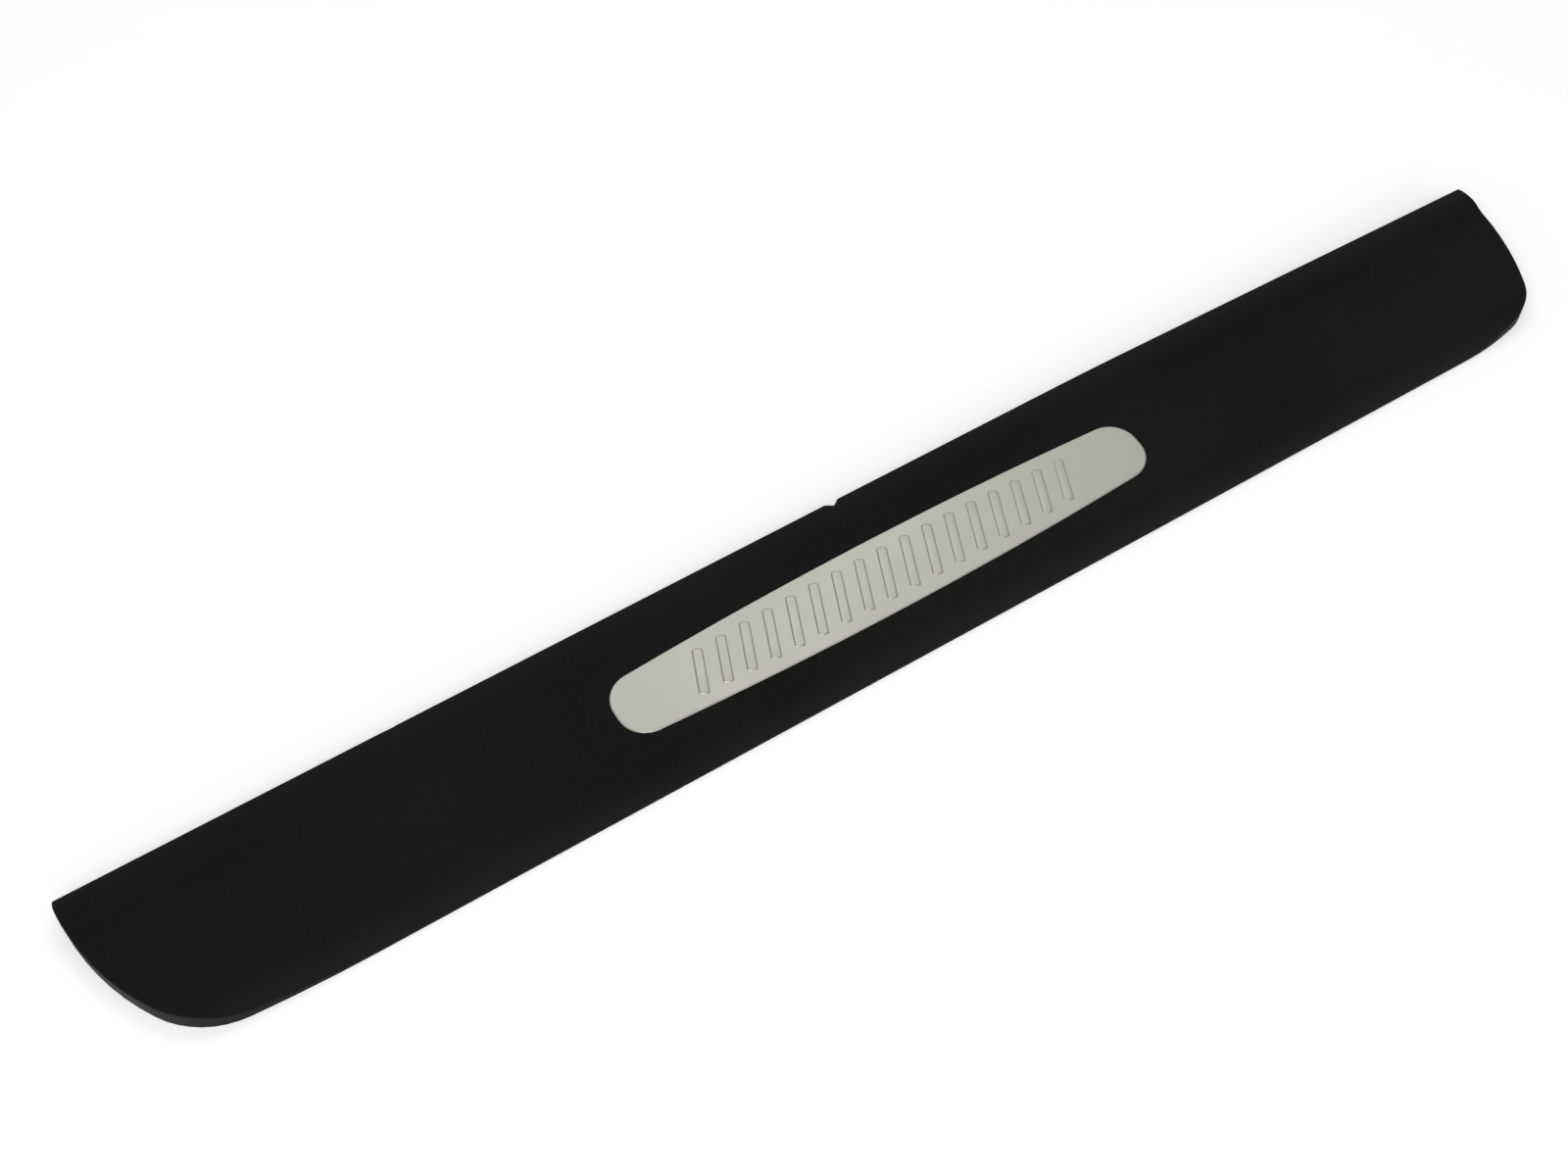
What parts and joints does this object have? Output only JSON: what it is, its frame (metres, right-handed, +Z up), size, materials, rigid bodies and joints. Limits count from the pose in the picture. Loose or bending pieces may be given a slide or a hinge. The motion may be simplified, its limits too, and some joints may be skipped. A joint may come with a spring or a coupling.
{
  "type": "car door sill plate",
  "caption": "Long moulded door sill cover with rounded ends, a rolled outer lip, a raised cabin-side ridge and a flush aluminium inlay plate; ribs and clips underneath.",
  "frame": {"origin": "middle of the cover's outline in plan, on the rest plane under its rim", "axes": "+X along the sill, +Y across it to the cabin side, +Z up out of the visible face"},
  "size_m": [0.9044, 0.1032, 0.0151],
  "materials": {
    "cover": "fine moulded leather grain, satin black",
    "inlay": "fine satin, warm light grey",
    "tape": "matte double-sided foam tape",
    "clip": "natural polymer, semi-matte",
    "foam": "soft closed-cell foam"
  },
  "bodies": {
    "root": {"sill_cover": "cover", "inlay_plate": "inlay", "inlay_tape": "tape", "push_clips": "clip", "clip_seals": "foam", "foam_pads": "foam"}
  },
  "joints": []
}
